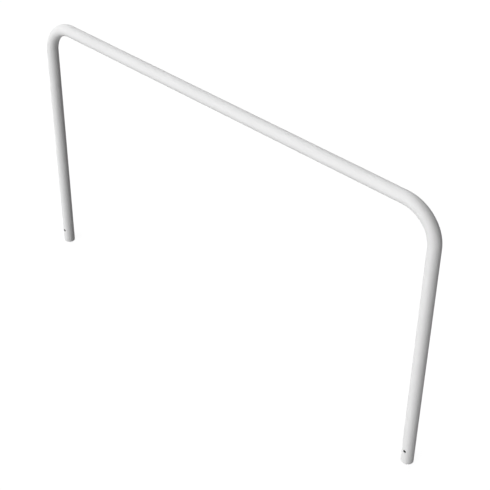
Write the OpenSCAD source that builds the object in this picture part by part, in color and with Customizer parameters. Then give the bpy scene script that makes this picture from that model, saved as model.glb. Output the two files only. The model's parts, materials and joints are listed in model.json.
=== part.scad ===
// Hoop barrier: one steel tube bent twice into a square-shouldered hoop. Each foot is
// drilled right through for an anchor rod and closed by a ribbed plug in its open end.
// Millimetres. The rail runs along X, the anchor holes along Y, and the feet stand on Z = 0.

/* [Hoop] */
// Overall width, from the outside of one leg to the outside of the other
hoop_width = 2500; // [1000:10:3000]
// Overall height, from the feet to the top of the rail
hoop_height = 1400; // [700:10:1800]
// Radius of the two bends, on the centreline of the tube
bend_radius = 167; // [140:1:300]

/* [Tube] */
// Outside diameter of the tube
tube_diameter = 60.3; // [42.4:0.1:76.1]
// Wall thickness of the tube
tube_wall = 2.9; // [2:0.1:5]
// Bevel left by deburring the sawn ends, inside and outside
end_bevel = 0.6; // [0.2:0.1:0.9]

/* [Anchor holes] */
// Diameter of the hole through both walls of each foot
anchor_diameter = 15; // [9:0.5:18]
// Height of that hole's centre above the foot
anchor_height = 75; // [60:1:150]

/* [End plugs] */
// How deep the plug's face lies inside the end of the tube
plug_recess = 1.5; // [1:0.1:3]
// Length of the plug, with its face
plug_length = 26; // [24:1:40]
// Thickness of the plug's face
plug_face = 3; // [2:0.1:4]
// Bevel round the plug's face
plug_bevel = 0.8; // [0.4:0.1:1.2]
// Wall thickness of the skirt behind the face
skirt_wall = 2.2; // [1.5:0.1:3]
// Number of ribs round the skirt
rib_count = 5; // [3:1:5]
// Height of a rib above the skirt
rib_height = 2; // [1:0.1:3]
// Thickness of a rib where it leaves the skirt
rib_root = 1.4; // [1:0.1:1.6]
// Thickness of a rib at its tip
rib_tip = 0.6; // [0.3:0.1:0.9]
// How far the tip is bent back towards the face
rib_lean = 0.9; // [0:0.1:1.2]
// Gap between a rib's tip and the bore of the tube
rib_gap = 0.05; // [0.02:0.01:0.1]

/* [Hidden] */

$fn = 96;
steel_white = [0.93, 0.93, 0.93];
plug_black = [0.16, 0.16, 0.17];

tube_radius = tube_diameter / 2;
bore_radius = tube_radius - tube_wall;
// Distance of each leg's axis from the middle of the hoop
leg_x = hoop_width / 2 - tube_radius;
// Height of the rail's axis
rail_z = hoop_height - tube_radius;
// Straight length of a leg below its bend
leg_length = rail_z - bend_radius;
// Half of the rail's straight length between the bends
rail_half = leg_x - bend_radius;

rib_radius = bore_radius - rib_gap;
skirt_radius = rib_radius - rib_height;
cup_radius = skirt_radius - skirt_wall;
// The ribs are spread evenly from the face to the far end of the skirt
rib_pitch = (plug_length - plug_face) / rib_count;
// How far a drill runs past the tube on each side
overrun = 1;

// Cross-section of the tube
module tube_ring() {
    difference() {
        circle(r = tube_radius);
        circle(r = bore_radius);
    }
}

// Straight leg with its sawn and deburred end on Z = 0
module leg() {
    rotate_extrude()
        polygon([
            [bore_radius + end_bevel, 0],
            [tube_radius - end_bevel, 0],
            [tube_radius, end_bevel],
            [tube_radius, leg_length],
            [bore_radius, leg_length],
            [bore_radius, end_bevel]
        ]);
}

// Drill through both walls of a foot, square to the plane of the hoop
module anchor_drill() {
    translate([0, 0, anchor_height])
        rotate([90, 0, 0])
            cylinder(d = anchor_diameter, h = tube_diameter + 2 * overrun, center = true);
}

// Quarter turn about Y, from the top of the right leg to the end of the rail
module bend() {
    rotate([90, 0, 0])
        rotate_extrude(angle = 90)
            translate([bend_radius, 0])
                tube_ring();
}

module rail() {
    rotate([0, 90, 0])
        linear_extrude(height = 2 * rail_half, center = true)
            tube_ring();
}

// Drilled leg and bend of the right side, in place
module right_side() {
    translate([leg_x, 0, 0])
        difference() {
            leg();
            anchor_drill();
        }
    translate([rail_half, 0, leg_length])
        bend();
}

// The whole tube, which is bent from one length and has no joints
module hoop_tube() {
    color(steel_white) {
        right_side();
        mirror([1, 0, 0])
            right_side();
        translate([0, 0, rail_z])
            rail();
    }
}

// Outline of one rib, upwards from its root at height z
function rib(z) = [
    [skirt_radius, z],
    [rib_radius, z - rib_lean],
    [rib_radius, z - rib_lean + rib_tip],
    [skirt_radius, z + rib_root]
];

// Moulded plug: a disc that closes the tube, and a hollow skirt with thin ribs that
// grip the bore. It is pushed in until its face lies inside the end of the tube.
module end_plug() {
    color(plug_black)
        rotate_extrude()
            polygon(concat(
                [[0, 0], [rib_radius - plug_bevel, 0], [rib_radius, plug_bevel], [rib_radius, plug_face]],
                [[skirt_radius, plug_face]],
                [for (i = [1 : rib_count]) each rib(plug_face + i * rib_pitch - rib_root)],
                [[cup_radius, plug_length], [cup_radius, plug_face], [0, plug_face]]
            ));
}

module left_end_plug() {
    translate([-leg_x, 0, plug_recess])
        end_plug();
}

module right_end_plug() {
    translate([leg_x, 0, plug_recess])
        end_plug();
}

hoop_tube();
left_end_plug();
right_end_plug();
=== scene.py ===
import json
import math

import bmesh
import bpy
from mathutils import Matrix, Vector


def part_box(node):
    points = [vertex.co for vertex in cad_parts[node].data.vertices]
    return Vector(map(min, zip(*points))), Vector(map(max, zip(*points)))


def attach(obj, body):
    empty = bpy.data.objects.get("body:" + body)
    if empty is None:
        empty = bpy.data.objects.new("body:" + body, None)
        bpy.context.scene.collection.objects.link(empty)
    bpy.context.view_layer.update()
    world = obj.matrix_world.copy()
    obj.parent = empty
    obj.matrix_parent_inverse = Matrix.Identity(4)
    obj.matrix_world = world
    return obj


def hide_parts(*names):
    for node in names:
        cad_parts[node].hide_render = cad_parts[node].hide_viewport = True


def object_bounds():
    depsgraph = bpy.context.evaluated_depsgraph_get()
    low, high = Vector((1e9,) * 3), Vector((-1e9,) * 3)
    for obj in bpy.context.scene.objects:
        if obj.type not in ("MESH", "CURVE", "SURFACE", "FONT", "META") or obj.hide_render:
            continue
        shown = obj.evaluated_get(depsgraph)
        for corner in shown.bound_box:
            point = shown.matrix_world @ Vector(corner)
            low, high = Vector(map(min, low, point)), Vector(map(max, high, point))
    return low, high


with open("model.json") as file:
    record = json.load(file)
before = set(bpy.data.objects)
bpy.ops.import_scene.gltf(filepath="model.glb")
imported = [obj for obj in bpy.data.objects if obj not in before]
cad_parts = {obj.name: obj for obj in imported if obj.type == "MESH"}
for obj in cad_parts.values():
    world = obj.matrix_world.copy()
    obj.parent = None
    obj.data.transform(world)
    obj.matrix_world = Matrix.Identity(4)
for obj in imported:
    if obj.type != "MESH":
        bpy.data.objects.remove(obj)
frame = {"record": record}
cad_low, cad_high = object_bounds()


# Camera
# The hoop is seen from the front right and above, all but along the diagonal of a cube,
# through a long lens. The picture is a crop of a wider one, so the view is shifted a little.
mounts = {mount["name"]: mount for mount in frame["record"]["mounts"]}
leg_x = mounts["right_leg"]["pos_m"][0]
span = 2 * leg_x
camera_turn = math.radians(-44.947)
camera_rise = math.radians(35.179)
camera_distance = 2.3434 * span
aim = Vector((0, 0, 0.2916 * span))
image_side = 490
focal_pixels = 1183
optical_centre = (218.92, 224.24)


def direction(turn, rise):
    """The way from the hoop towards a bearing and a height, both in radians."""
    level = math.cos(rise)
    return Vector((level * math.cos(turn), level * math.sin(turn), math.sin(rise)))


camera_data = bpy.data.cameras.new("photo_camera")
camera_data.sensor_width = 36.0
camera_data.lens = camera_data.sensor_width * focal_pixels / image_side
camera_data.shift_x = 0.5 - optical_centre[0] / image_side
camera_data.shift_y = optical_centre[1] / image_side - 0.5
camera_data.clip_start = 0.1
camera_data.clip_end = 200.0
camera = bpy.data.objects.new("photo_camera", camera_data)
bpy.context.scene.collection.objects.link(camera)
backwards = direction(camera_turn, camera_rise)
camera.location = aim + camera_distance * backwards
camera.rotation_euler = backwards.to_track_quat("Z", "Y").to_euler()
bpy.context.scene.camera = camera


# Hoop tube
# One length of zinc-coated round steel tube, bent cold twice, drilled right through at each
# foot, deburred and then coated with white powder. The powder melts to a satin skin with a
# fine orange peel, rounds every rim, and only dusts the inside of the openings. Its fading
# over the hole walls is partly painted shade, which darkens the holes.
tube_radius = mounts["right_leg"]["dims"]["r_mm"] / 1000
tube_wall = 0.0029
bore_radius = tube_radius - tube_wall
hole_radius = mounts["right_anchor_hole"]["dims"]["r_mm"] / 1000
hole_height = mounts["right_anchor_hole"]["pos_m"][2]
end_round = 0.0006
rim_round = 0.0005
rail_height = cad_high.z - tube_radius
leg_top = cad_low.z + end_round + mounts["right_leg"]["dims"]["length_mm"] / 1000
bend_radius = rail_height - leg_top
rail_half = leg_x - bend_radius
half_length = leg_top + math.pi / 2 * bend_radius + rail_half
# How finely the skin is cut. A square of it is left out round each hole and closed by its rim
tube_sides = 96
window_half = 8
row_pitch = 0.002
rows_below = 6
foot_top = 0.1
straight_step = 0.05
bend_steps = 40
touching = 0.00001
# How the powder fades: over the wall, and as dust on the bore, away from each opening. The fade
# over the wall is partly painted shade that darkens the holes
coat_thinning_and_painted_shade = 0.75
dusted_depth = 0.98
dust_most = 0.6
dust_reach = 0.005
# The powder, the zinc under it and the ragged edge between them. Deep in the holes the thin powder
# and zinc also stand for painted shade
powder_white = (0.885, 0.885, 0.885, 1)
thin_powder = (0.8, 0.8, 0.79, 1)
bare_zinc = (0.33, 0.335, 0.34, 1)
full_coat = (0.6, 1.0)
ragged_edge = (0.72, 0.88)
grit_per_metre = 1400.0
grit_share = 0.9
clouds_per_metre = 6.0
cloud_tones = (0.985, 1.0)
powder_dullness = (0.50, 0.57)
powder_shine = 0.2
zinc_dullness = 0.58
# The orange peel, the rare specks in it, and where most values of a noise lie
peel_height = 0.0002
peel = {
    "Grain per metre": 480.0,
    "Waves per metre": 45.0,
    "Wave share": 0.3,
    "Specks per metre": 30.0,
}
speck_size = 0.014
speck_height = 1.2
noise_span = (0.3, 0.7)
# The flat map of the skin, in metres of tube. The rims are drawn larger on it, and the bore
# above the feet smaller
map_seam = math.radians(135)
map_gap = 0.005
map_lengths = 5
map_length = 2 * half_length / map_lengths
map_lane = 2 * math.pi * tube_radius + map_gap
rest_row = map_lengths * map_lane + 2 * map_gap
rest_column = 2 * foot_top + 5 * map_gap
left_end_row = 0.03
right_end_row = 0.075
hole_row = 0.12
bore_share = 0.12
rim_share = 4.0
rim_widen = 8.0
map_side = rest_row + 2 * math.pi * bore_radius + 2 * map_gap


def add_skin(mesh, rows, closed=True):
    """Joins rows of points, all of one length, with bands of four-sided faces."""
    made = [[mesh.verts.new(point) for point in row] for row in rows]
    for low, high in zip(made, made[1:]):
        count = len(low)
        for i in range(count if closed else count - 1):
            j = (i + 1) % count
            mesh.faces.new((low[i], low[j], high[j], high[i]))


def ring(radius, height):
    """Points round an upright axis, from the front of the hoop."""
    turns = [2 * math.pi * i / tube_sides for i in range(tube_sides)]
    return [(radius * math.sin(t), -radius * math.cos(t), height) for t in turns]


def window_edge():
    """The steps round the square of wall that is left out for a hole, as (column, row)."""
    run = range(-window_half, window_half)
    low = [(i, -window_half) for i in run]
    right = [(window_half, i) for i in run]
    return low + right + [(-i, -j) for i, j in low + right]


def wall_point(radius, across, height, side, depth=0.0):
    """A point on or under the round wall, given as seen along the drill."""
    return (across, side * (math.sqrt(radius**2 - across**2) - depth), height)


def hole_rows(side):
    """Loops from the wall outside, over the rounded rim, through the hole and out inside."""
    edge = window_edge()
    turn = 2 * math.pi / tube_sides
    spokes = [math.atan2(row * row_pitch, tube_radius * math.sin(col * turn)) for col, row in edge]
    # Shares of the way from the hole's rim to the edge of the square, and steps of its rounding
    spread = [1.0, 0.72, 0.5, 0.33, 0.2, 0.1, 0.04, 0.0]
    rim = [math.radians(angle) for angle in (67.5, 45, 22.5, 0)]

    def wall_loop(radius, share):
        points = []
        for (column, row), spoke in zip(edge, spokes):
            far = (radius * math.sin(column * turn), row * row_pitch)
            near_distance = hole_radius + rim_round
            near = (near_distance * math.cos(spoke), near_distance * math.sin(spoke))
            across = near[0] + share * (far[0] - near[0])
            up = near[1] + share * (far[1] - near[1])
            points.append(wall_point(radius, across, hole_height + up, side))
        return points

    def rim_loop(radius, angle, inward):
        points = []
        distance = hole_radius + rim_round * (1 - math.cos(angle))
        depth = inward * rim_round * (1 - math.sin(angle))
        for spoke in spokes:
            across, up = distance * math.cos(spoke), distance * math.sin(spoke)
            points.append(wall_point(radius, across, hole_height + up, side, depth))
        return points

    loops = [wall_loop(tube_radius, share) for share in spread]
    loops += [rim_loop(tube_radius, angle, 1) for angle in rim]
    loops += [rim_loop(bore_radius, angle, -1) for angle in reversed(rim)]
    loops += [wall_loop(bore_radius, share) for share in reversed(spread)]
    return loops


def add_foot(mesh, x):
    """The drilled foot of the leg at x, from its sawn end up to where the plain tube starts."""
    start = len(mesh.verts)
    window_low = hole_height - window_half * row_pitch
    window_high = hole_height + window_half * row_pitch
    below = [end_round + (window_low - end_round) * i / rows_below for i in range(rows_below + 1)]
    beside = [window_low + row_pitch * i for i in range(2 * window_half + 1)]
    half_turn = tube_sides // 2
    for radius in (tube_radius, bore_radius):
        add_skin(mesh, [ring(radius, z) for z in below])
        add_skin(mesh, [ring(radius, z) for z in (window_high, foot_top)])
        for first in (window_half, window_half + half_turn):
            last = first + half_turn - 2 * window_half
            rows = [ring(radius, z) for z in beside]
            rows = [[row[i % tube_sides] for i in range(first, last + 1)] for row in rows]
            add_skin(mesh, rows, closed=False)
    for side in (-1, 1):
        add_skin(mesh, hole_rows(side))
    rounding = [math.radians(angle) for angle in (0, 22.5, 45, 67.5, 90)]
    inset = [(end_round * (1 - math.cos(a)), end_round * (1 - math.sin(a))) for a in rounding]
    outer = [(tube_radius - across, up) for across, up in inset]
    inner = [(bore_radius + across, up) for across, up in inset]
    add_skin(mesh, [ring(radius, z) for radius, z in outer + inner[::-1]])
    mesh.verts.ensure_lookup_table()
    for vertex in mesh.verts[start:]:
        vertex.co.x += x


def centre_line():
    """Points along the axis of the tube, from the top of the left foot to that of the right."""
    leg_steps = round((leg_top - foot_top) / straight_step)
    rail_steps = round(rail_half / straight_step)
    half = [(leg_x, 0, foot_top + (leg_top - foot_top) * i / leg_steps) for i in range(leg_steps)]
    for i in range(bend_steps + 1):
        turn = math.pi / 2 * i / bend_steps
        across, up = bend_radius * math.cos(turn), bend_radius * math.sin(turn)
        half.append((rail_half + across, 0, leg_top + up))
    half += [(rail_half * (1 - i / rail_steps), 0, rail_height) for i in range(1, rail_steps + 1)]
    left = [(-x, y, z) for x, y, z in half]
    return left + half[-2::-1]


def place_on_tube(point):
    """How far along the tube a point lies from the nearer foot, and how far outwards and back."""
    across, y, z = abs(point.x), point.y, point.z
    if z <= leg_top:
        return z, across - leg_x, y
    if across <= rail_half:
        return half_length - across, z - rail_height, y
    turn = math.atan2(z - leg_top, across - rail_half)
    out = math.hypot(across - rail_half, z - leg_top) - bend_radius
    return leg_top + turn * bend_radius, out, y


def coat_left_and_painted_shade(point):
    """How well the powder reached a point: 1 on the outside, and fading out inside the bore. The
    fade over the hole walls is partly painted shade.
    """
    along, out, back = place_on_tube(point)
    depth = min(1.0, max(0.0, (tube_radius - math.hypot(out, back)) / tube_wall))
    from_hole = math.hypot(out, along - hole_height) - hole_radius if along < leg_top else 1.0
    from_opening = max(0.0, min(along, from_hole))
    if depth > dusted_depth:
        return dust_most * math.exp(-from_opening / dust_reach)
    # Darker deeper in the wall: thinner powder, and partly painted shade of the hole
    return 1.0 - coat_thinning_and_painted_shade * depth


def near_turn(angle, middle):
    """The same angle, counted so that it lies within half a turn of the middle one."""
    return angle - 2 * math.pi * round((angle - middle) / (2 * math.pi))


def way_over_rim(beyond, rounding, depth):
    """How far over a rounded rim a point lies, from the skin outside round to the bore."""
    return depth + rounding + (beyond if depth > tube_wall / 2 else -beyond)


def lay_flat(middle, corners):
    """Where a face's corners lie on the flat map, in metres. The outside is slit along its inner
    back and cut in lengths, side by side. The bore, the sawn ends and the holes lie beyond."""
    right = middle.x > 0
    along, out, back = place_on_tube(middle)
    halfway = (math.atan2(back, out) - map_seam) % (2 * math.pi)
    places = [place_on_tube(corner) for corner in corners]
    turns = [near_turn(math.atan2(y, off) - map_seam, halfway) for _, off, y in places]
    depths = [tube_radius - math.hypot(off, y) for _, off, y in places]
    from_foot = [run for run, _, _ in places]
    runs = [2 * half_length - run if right else run for run in from_foot]
    if max(depths) < touching:
        number = int(sum(runs) / len(runs) / map_length)
        start, row = straight_step / 2 - number * map_length, number * map_lane
        return [(start + run, row + tube_radius * turn) for run, turn in zip(runs, turns)]
    if min(depths) > tube_wall - touching:
        start, share = rest_column, bore_share
        if along < foot_top:
            start, share, runs = (foot_top + 2 * map_gap if right else 0), 1, from_foot
        lane = share * bore_radius
        return [(start + share * run, rest_row + lane * turn) for run, turn in zip(runs, turns)]
    if along < end_round:
        radius, rounding, beyond = tube_radius, end_round, from_foot
        start, row = rest_column, rest_row + (right_end_row if right else left_end_row)
    else:
        radius, rounding = hole_radius, rim_round
        ups = [run - hole_height for run in from_foot]
        outs = [off for _, off, _ in places]
        halfway = math.atan2(along - hole_height, out)
        turns = [math.pi + near_turn(math.atan2(*spot), halfway) for spot in zip(ups, outs)]
        beyond = [math.hypot(*spot) - hole_radius for spot in zip(outs, ups)]
        number = (2 if right else 0) + (1 if back > 0 else 0)
        start = rest_column + number * (rim_share * 2 * math.pi * hole_radius + map_gap)
        row = rest_row + hole_row
    ways = [way_over_rim(off, rounding, depth) for off, depth in zip(beyond, depths)]
    lane = rim_share * radius
    return [(start + lane * turn, row + rim_widen * way) for turn, way in zip(turns, ways)]


def add_map(mesh):
    """Gives a mesh the flat map that its textures are made on, under the name they need."""
    places = []
    for face in mesh.polygons:
        for spot in lay_flat(face.center, [mesh.vertices[i].co for i in face.vertices]):
            places += [(map_gap + place) / map_side for place in spot]
    mesh.uv_layers.new(name="OFBake").data.foreach_set("uv", places)


def socket(tree, name):
    """The identifier of a tree's input, by its name."""
    return next(item.identifier for item in tree.interface.items_tree if item.name == name)


def new_tree(name, inputs, output):
    """A Geometry Nodes tree with named inputs of (name, kind), and one named output."""
    tree = bpy.data.node_groups.new(name, "GeometryNodeTree")
    for label, kind in inputs:
        tree.interface.new_socket(label, in_out="INPUT", socket_type="NodeSocket" + kind)
    tree.interface.new_socket(output, in_out="OUTPUT", socket_type="NodeSocketGeometry")
    return tree


def finish_tree(tree, geometry, inputs, output):
    """Ends a tree in Realize Instances and Set Material."""
    real = tree.nodes.new("GeometryNodeRealizeInstances")
    paint = tree.nodes.new("GeometryNodeSetMaterial")
    outputs = tree.nodes.new("NodeGroupOutput")
    tree.links.new(geometry, real.inputs["Geometry"])
    tree.links.new(real.outputs["Geometry"], paint.inputs["Geometry"])
    tree.links.new(inputs.outputs["Material"], paint.inputs["Material"])
    tree.links.new(paint.outputs["Geometry"], outputs.inputs[output])


def tube_tree():
    """Sweeps the outside and the bore of a tube along the object's edges."""
    sizes = [("Outside radius", "Float"), ("Bore radius", "Float"), ("Sides", "Int")]
    sockets = [("Path", "Geometry"), *sizes, ("Material", "Material")]
    tree = new_tree("bent_tube", sockets, "Tube")
    link = tree.links.new
    inputs = tree.nodes.new("NodeGroupInput")
    path = tree.nodes.new("GeometryNodeMeshToCurve")
    link(inputs.outputs["Path"], path.inputs["Mesh"])
    walls = tree.nodes.new("GeometryNodeJoinGeometry")
    for name in ("Outside radius", "Bore radius"):
        circle = tree.nodes.new("GeometryNodeCurvePrimitiveCircle")
        link(inputs.outputs["Sides"], circle.inputs["Resolution"])
        link(inputs.outputs[name], circle.inputs["Radius"])
        sweep = tree.nodes.new("GeometryNodeCurveToMesh")
        link(path.outputs["Curve"], sweep.inputs["Curve"])
        link(circle.outputs["Curve"], sweep.inputs["Profile Curve"])
        link(sweep.outputs["Mesh"], walls.inputs["Geometry"])
    finish_tree(tree, walls.outputs["Geometry"], inputs, "Tube")
    return tree


def close_skin(mesh, name, material):
    """Joins a mesh where its skins touch and turns its faces outwards, for one smooth piece of
    one material."""
    bmesh.ops.remove_doubles(mesh, verts=mesh.verts, dist=touching)
    bmesh.ops.recalc_face_normals(mesh, faces=mesh.faces)
    for face in mesh.faces:
        face.smooth = True
        face.material_index = 0
    closed = bpy.data.meshes.new(name)
    mesh.to_mesh(closed)
    mesh.free()
    closed.materials.append(material)
    return closed


def make_object(name, mesh):
    """An object at the origin that holds the mesh, linked to the scene."""
    made = bpy.data.objects.new(name, mesh)
    bpy.context.scene.collection.objects.link(made)
    return made


def grow(name, points, tree, values):
    """Runs a tree on a line of points and gives back the plain mesh that it makes."""
    line = bpy.data.meshes.new(name)
    line.from_pydata(points, [(i, i + 1) for i in range(len(points) - 1)], [])
    carrier = make_object(name, line)
    modifier = carrier.modifiers.new(name, "NODES")
    modifier.node_group = tree
    for label, value in values.items():
        modifier[socket(tree, label)] = value
    evaluated = carrier.evaluated_get(bpy.context.evaluated_depsgraph_get())
    made = bpy.data.meshes.new_from_object(evaluated)
    bpy.data.objects.remove(carrier)
    return made


def skin_group():
    """Shader group for a skin with grain, slow waves and rare specks, as heights and a mask."""
    group = bpy.data.node_groups.new("moulded_skin", "ShaderNodeTree")
    for name in ("Grain per metre", "Waves per metre", "Wave share", "Specks per metre"):
        group.interface.new_socket(name, in_out="INPUT", socket_type="NodeSocketFloat")
    for name in ("Height", "Dullness"):
        group.interface.new_socket(name, in_out="OUTPUT", socket_type="NodeSocketFloat")
    new, link = group.nodes.new, group.links.new
    inputs = new("NodeGroupInput")
    outputs = new("NodeGroupOutput")
    place = new("ShaderNodeTexCoord")
    grain = new("ShaderNodeTexNoise")
    grain.inputs["Detail"].default_value = 2.0
    grain.inputs["Roughness"].default_value = 0.45
    waves = new("ShaderNodeTexNoise")
    waves.inputs["Detail"].default_value = 3.0
    blend = new("ShaderNodeMix")
    specks = new("ShaderNodeTexVoronoi")
    speck = new("ShaderNodeMapRange")
    speck.interpolation_type = "SMOOTHSTEP"
    speck.inputs["From Min"].default_value = 0.0
    speck.inputs["From Max"].default_value = speck_size
    speck.inputs["To Min"].default_value = speck_height
    speck.inputs["To Max"].default_value = 0.0
    total = new("ShaderNodeMath")
    for texture in (grain, waves, specks):
        link(place.outputs["Object"], texture.inputs["Vector"])
    link(inputs.outputs["Grain per metre"], grain.inputs["Scale"])
    link(inputs.outputs["Waves per metre"], waves.inputs["Scale"])
    link(inputs.outputs["Specks per metre"], specks.inputs["Scale"])
    link(inputs.outputs["Wave share"], blend.inputs["Factor"])
    link(grain.outputs["Fac"], blend.inputs["A"])
    link(waves.outputs["Fac"], blend.inputs["B"])
    link(specks.outputs["Distance"], speck.inputs["Value"])
    link(blend.outputs["Result"], total.inputs[0])
    link(speck.outputs["Result"], total.inputs[1])
    link(total.outputs["Value"], outputs.inputs["Height"])
    link(waves.outputs["Fac"], outputs.inputs["Dullness"])
    return group


def place_group(material, group, values):
    """Puts a shader group into a material with its own values."""
    placed = material.node_tree.nodes.new("ShaderNodeGroup")
    placed.node_tree = group
    for name, value in values.items():
        placed.inputs[name].default_value = value
    return placed


def spread_value(material, source, span, values):
    """Maps a node's output from its own span to a span of values."""
    spread = material.node_tree.nodes.new("ShaderNodeMapRange")
    spread.inputs["From Min"].default_value, spread.inputs["From Max"].default_value = span
    spread.inputs["To Min"].default_value, spread.inputs["To Max"].default_value = values
    material.node_tree.links.new(source, spread.inputs["Value"])
    return spread.outputs["Result"]


def blend_colours(material, factor, low, high):
    """A mix of two colours, or of a node's colour and a plain one."""
    mix = material.node_tree.nodes.new("ShaderNodeMix")
    mix.data_type = "RGBA"
    material.node_tree.links.new(factor, mix.inputs["Factor"])
    for name, colour in (("A", low), ("B", high)):
        target = next(item for item in mix.inputs if item.name == name and item.type == "RGBA")
        if isinstance(colour, tuple):
            target.default_value = colour
        else:
            material.node_tree.links.new(colour, target)
    return next(item for item in mix.outputs if item.type == "RGBA")


def powder_coat():
    """White satin powder over zinc. The coat attribute says where it thins and gives out, which in
    the holes is partly painted shade.
    """
    coat = bpy.data.materials.new("white_powder_coat")
    coat.use_nodes = True
    nodes, link = coat.node_tree.nodes, coat.node_tree.links.new
    shader = nodes["Principled BSDF"]
    skin = place_group(coat, skins, peel)
    reach = nodes.new("ShaderNodeAttribute")
    reach.attribute_name = "coat"
    place = nodes.new("ShaderNodeTexCoord")
    grit = nodes.new("ShaderNodeTexNoise")
    grit.inputs["Scale"].default_value = grit_per_metre
    grit.inputs["Detail"].default_value = 3.0
    link(place.outputs["Object"], grit.inputs["Vector"])
    ragged = nodes.new("ShaderNodeMath")
    ragged.operation = "MULTIPLY_ADD"
    ragged.inputs[1].default_value = grit_share
    link(grit.outputs["Fac"], ragged.inputs[0])
    link(reach.outputs["Fac"], ragged.inputs[2])
    covered = spread_value(coat, ragged.outputs["Value"], ragged_edge, (0.0, 1.0))
    tone = nodes.new("ShaderNodeTexNoise")
    tone.inputs["Scale"].default_value = clouds_per_metre
    tone.inputs["Detail"].default_value = 4.0
    link(place.outputs["Object"], tone.inputs["Vector"])
    # Greyer thin powder deeper in the holes: partly painted shade
    thickness_and_painted_shade = spread_value(coat, reach.outputs["Fac"], full_coat, (0.0, 1.0))
    powder = blend_colours(coat, thickness_and_painted_shade, thin_powder, powder_white)
    cloud = spread_value(coat, tone.outputs["Fac"], noise_span, cloud_tones)
    shaded = nodes.new("ShaderNodeVectorMath")
    shaded.operation = "SCALE"
    link(powder, shaded.inputs["Vector"])
    link(cloud, shaded.inputs["Scale"])
    colour = blend_colours(coat, covered, bare_zinc, shaded.outputs["Vector"])
    link(colour, shader.inputs["Base Color"])
    link(spread_value(coat, covered, (0.0, 1.0), (1.0, 0.0)), shader.inputs["Metallic"])
    satin = spread_value(coat, skin.outputs["Dullness"], noise_span, powder_dullness)
    dull = nodes.new("ShaderNodeMix")
    link(covered, dull.inputs["Factor"])
    dull.inputs["A"].default_value = zinc_dullness
    link(satin, dull.inputs["B"])
    link(dull.outputs["Result"], shader.inputs["Roughness"])
    shader.inputs["Specular IOR Level"].default_value = powder_shine
    bumps = nodes.new("ShaderNodeBump")
    bumps.inputs["Strength"].default_value = 1.0
    bumps.inputs["Distance"].default_value = peel_height
    link(skin.outputs["Height"], bumps.inputs["Height"])
    link(bumps.outputs["Normal"], shader.inputs["Normal"])
    return coat


skins = skin_group()
coat = powder_coat()
tube_sizes = {"Outside radius": tube_radius, "Bore radius": bore_radius, "Sides": tube_sides}
swept = grow("hoop_path", centre_line(), tube_tree(), {**tube_sizes, "Material": coat})
mesh = bmesh.new()
mesh.from_mesh(swept)
for x in (-leg_x, leg_x):
    add_foot(mesh, x)
hoop_mesh = close_skin(mesh, "bent_tube", coat)
reached = hoop_mesh.attributes.new("coat", "FLOAT", "POINT")
reached.data.foreach_set("value", [coat_left_and_painted_shade(vertex.co) for vertex in hoop_mesh.vertices])
add_map(hoop_mesh)
hoop = make_object("bent_tube", hoop_mesh)
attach(hoop, "root")
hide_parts("hoop_tube")


# End plugs
# A black polyethylene plug, moulded in one shot, is pushed into each sawn end until its face
# lies just inside. Its soft ribs bend back and grip the bore. The flat face has one small
# dimple, with the stub of the gate where the plastic came in.
plug_low, plug_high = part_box("right_end_plug")
plug_length = plug_high[2] - plug_low[2]
plug_radius = plug_high[0] - leg_x
face_thick = 0.003
rib_height = 0.002
skirt_wall = 0.0022
skirt_radius = plug_radius - rib_height
cup_radius = skirt_radius - skirt_wall
rib_count = 5
rib_root = 0.0014
rib_tip = 0.0006
rib_lean = 0.0009
dimple_radius = 0.0032
dimple_depth = 0.0004
dimple_slope = 0.0004
gate_radius = 0.0011
gate_height = 0.00025
gate_slope = 0.0001
# How far back each corner of the moulding is rounded
gate_round = 0.0001
dimple_round = 0.0002
face_round = 0.0008
back_round = 0.0004
skirt_round = 0.0003
rib_foot_round = 0.0004
rib_round = 0.0002
lip_round = 0.0005
cup_round = 0.001
corner_steps = 3
plug_sides = 96
# The plastic, plain and where it is rubbed
plug_black = (0.028, 0.028, 0.03, 1)
plug_rubbed = (0.06, 0.06, 0.062, 1)
rubbed_spots = (0.52, 0.75)
plug_dullness = (0.48, 0.66)
grain_height = 0.000025
mould_grain = {
    "Grain per metre": 2200.0,
    "Waves per metre": 160.0,
    "Wave share": 0.5,
    "Specks per metre": 120.0,
}


def corner(before, at, after, radius):
    """Points round a corner of a section, from the line before it to the line after it."""
    at = Vector(at)
    start = at + (Vector(before) - at).normalized() * radius
    end = at + (Vector(after) - at).normalized() * radius
    turns = [i / corner_steps for i in range(corner_steps + 1)]
    return [start * (1 - t) ** 2 + at * 2 * t * (1 - t) + end * t**2 for t in turns]


def plug_section():
    """Half-section of the plug, as (radius, height), from the gate round to the cup's middle."""
    rib_pitch = (plug_length - face_thick) / rib_count
    points = [
        (0, dimple_depth - gate_height, 0),
        (gate_radius, dimple_depth - gate_height, gate_round),
        (gate_radius + gate_slope, dimple_depth, gate_round),
        (dimple_radius - dimple_slope, dimple_depth, dimple_round),
        (dimple_radius, 0, dimple_round),
        (plug_radius, 0, face_round),
        (plug_radius, face_thick, back_round),
        (skirt_radius, face_thick, skirt_round),
    ]
    for i in range(1, rib_count + 1):
        root = face_thick + i * rib_pitch - rib_root
        tip = root - rib_lean
        points += [
            (skirt_radius, root, rib_foot_round),
            (plug_radius, tip, rib_round),
            (plug_radius, tip + rib_tip, rib_round),
            (skirt_radius, root + rib_root, rib_round),
        ]
    points += [
        (cup_radius, plug_length, lip_round),
        (cup_radius, face_thick, cup_round),
        (0, face_thick, 0),
    ]
    section = []
    for i, (radius, height, rounding) in enumerate(points):
        if rounding:
            neighbours = [Vector(points[i - 1][:2]), Vector(points[i + 1][:2])]
            section += corner(neighbours[0], (radius, height), neighbours[1], rounding)
        else:
            section.append(Vector((radius, height)))
    return section


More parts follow.
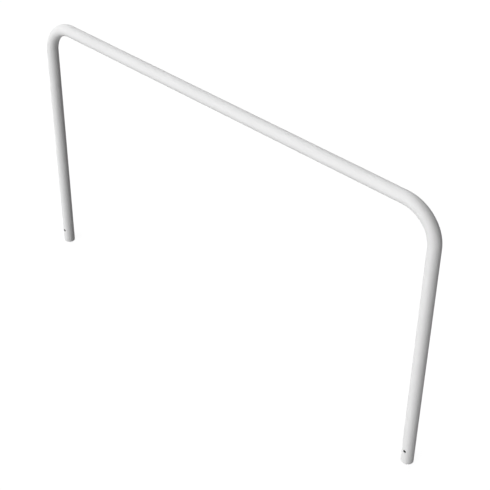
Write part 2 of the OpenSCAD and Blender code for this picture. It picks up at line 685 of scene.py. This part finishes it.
def turned_tree():
    """Turns a half-section round the upright axis, as a lathe or a round mould does."""
    sizes = [("Middle radius", "Float"), ("Sides", "Int")]
    sockets = [("Section", "Geometry"), *sizes, ("Material", "Material")]
    tree = new_tree("turned_plug", sockets, "Plug")
    link = tree.links.new
    inputs = tree.nodes.new("NodeGroupInput")
    section = tree.nodes.new("GeometryNodeMeshToCurve")
    circle = tree.nodes.new("GeometryNodeCurvePrimitiveCircle")
    turn = tree.nodes.new("GeometryNodeCurveToMesh")
    link(inputs.outputs["Section"], section.inputs["Mesh"])
    link(inputs.outputs["Sides"], circle.inputs["Resolution"])
    link(inputs.outputs["Middle radius"], circle.inputs["Radius"])
    link(circle.outputs["Curve"], turn.inputs["Curve"])
    link(section.outputs["Curve"], turn.inputs["Profile Curve"])
    finish_tree(tree, turn.outputs["Mesh"], inputs, "Plug")
    return tree


def black_plastic():
    """Matt black polyethylene with the fine grain of its mould, rubbed paler in patches."""
    plastic = bpy.data.materials.new("black_polyethylene")
    plastic.use_nodes = True
    nodes, link = plastic.node_tree.nodes, plastic.node_tree.links.new
    shader = nodes["Principled BSDF"]
    skin = place_group(plastic, skins, mould_grain)
    rubbed = spread_value(plastic, skin.outputs["Dullness"], rubbed_spots, (0.0, 1.0))
    link(blend_colours(plastic, rubbed, plug_black, plug_rubbed), shader.inputs["Base Color"])
    matt = spread_value(plastic, skin.outputs["Dullness"], noise_span, plug_dullness)
    link(matt, shader.inputs["Roughness"])
    grain = nodes.new("ShaderNodeBump")
    grain.inputs["Strength"].default_value = 1.0
    grain.inputs["Distance"].default_value = grain_height
    link(skin.outputs["Height"], grain.inputs["Height"])
    link(grain.outputs["Normal"], shader.inputs["Normal"])
    return plastic


plastic = black_plastic()
# The section is swept round a circle half-way out, on which its own height points down
middle_radius = plug_radius / 2
half_section = [(point[0] - middle_radius, -point[1], 0) for point in plug_section()]
turn_sizes = {"Middle radius": middle_radius, "Sides": plug_sides, "Material": plastic}
turned = grow("plug_section", half_section, turned_tree(), turn_sizes)
for side, x in (("left", -leg_x), ("right", leg_x)):
    mesh = bmesh.new()
    mesh.from_mesh(turned)
    plug_mesh = close_skin(mesh, side + "_plug", plastic)
    plug_mesh.transform(Matrix.Translation((x, 0, plug_low[2])))
    plug = make_object(side + "_plug", plug_mesh)
    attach(plug, "root")
    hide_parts(side + "_end_plug")


# Floor and light
# A pale floor that runs on out of sight, in a dim white room with three wide soft lamps: one
# in front, one at the front left, and a high one behind on the left. The floor shows the
# hoop's faint shadow. A glow that only the camera, glass and gloss see makes it white.
floor_reach = 60.0
floor_drop = 0.0003
floor_pale = (0.28, 0.28, 0.28, 1)
room_strength = 0.03
floor_glow = 0.85
lamp_spread = math.radians(60)
# For each lamp its bearing and height in degrees, and how brightly it lights a white wall
lamps = {
    "front_lamp": (-82, 25, 0.57),
    "left_lamp": (-131, 12, 0.52),
    "back_lamp": (-220, 38, 0.44),
}


def seen_directly(tree):
    """1 for rays from the camera, from glass or from gloss, and 0 for the light on the hoop."""
    path = tree.nodes.new("ShaderNodeLightPath")
    total = path.outputs["Is Camera Ray"]
    for name in ("Is Glossy Ray", "Is Transmission Ray"):
        larger = tree.nodes.new("ShaderNodeMath")
        larger.operation = "MAXIMUM"
        tree.links.new(total, larger.inputs[0])
        tree.links.new(path.outputs[name], larger.inputs[1])
        total = larger.outputs["Value"]
    return total


def pale_floor():
    """Pale matt floor with a glow to white. From below it lets the view through."""
    material = bpy.data.materials.new("studio_floor")
    material.use_nodes = True
    nodes, link = material.node_tree.nodes, material.node_tree.links.new
    nodes.clear()
    paint = nodes.new("ShaderNodeBsdfDiffuse")
    paint.inputs["Color"].default_value = floor_pale
    glow = nodes.new("ShaderNodeEmission")
    strength = nodes.new("ShaderNodeMath")
    strength.operation = "MULTIPLY"
    strength.inputs[1].default_value = floor_glow
    link(seen_directly(material.node_tree), strength.inputs[0])
    link(strength.outputs["Value"], glow.inputs["Strength"])
    both = nodes.new("ShaderNodeAddShader")
    link(paint.outputs["BSDF"], both.inputs[0])
    link(glow.outputs["Emission"], both.inputs[1])
    clear = nodes.new("ShaderNodeBsdfTransparent")
    facing = nodes.new("ShaderNodeNewGeometry")
    side = nodes.new("ShaderNodeMixShader")
    link(facing.outputs["Backfacing"], side.inputs["Fac"])
    link(both.outputs["Shader"], side.inputs[1])
    link(clear.outputs["BSDF"], side.inputs[2])
    output = nodes.new("ShaderNodeOutputMaterial")
    link(side.outputs["Shader"], output.inputs["Surface"])
    return material


floor_edge = [(-floor_reach, -floor_reach), (floor_reach, -floor_reach)]
floor_edge += [(floor_reach, floor_reach), (-floor_reach, floor_reach)]
floor_mesh = bpy.data.meshes.new("floor")
floor_mesh.from_pydata([(x, y, -floor_drop) for x, y in floor_edge], [], [(0, 1, 2, 3)])
floor_mesh.materials.append(pale_floor())
floor = make_object("floor", floor_mesh)

for name, (azimuth, elevation, level) in lamps.items():
    lamp_data = bpy.data.lights.new(name, "SUN")
    lamp_data.energy = level * math.pi
    lamp_data.angle = lamp_spread
    lamp = make_object(name, lamp_data)
    away = direction(math.radians(azimuth), math.radians(elevation))
    lamp.rotation_euler = away.to_track_quat("Z", "Y").to_euler()

world = bpy.data.worlds.new("studio")
bpy.context.scene.world = world
world.use_nodes = True
room = world.node_tree.nodes["Background"]
room.inputs["Color"].default_value = (1, 1, 1, 1)
brightness = world.node_tree.nodes.new("ShaderNodeMapRange")
brightness.inputs["To Min"].default_value = room_strength
brightness.inputs["To Max"].default_value = 1.0
world.node_tree.links.new(seen_directly(world.node_tree), brightness.inputs["Value"])
world.node_tree.links.new(brightness.outputs["Result"], room.inputs["Strength"])

bpy.context.scene.view_settings.view_transform = "Standard"
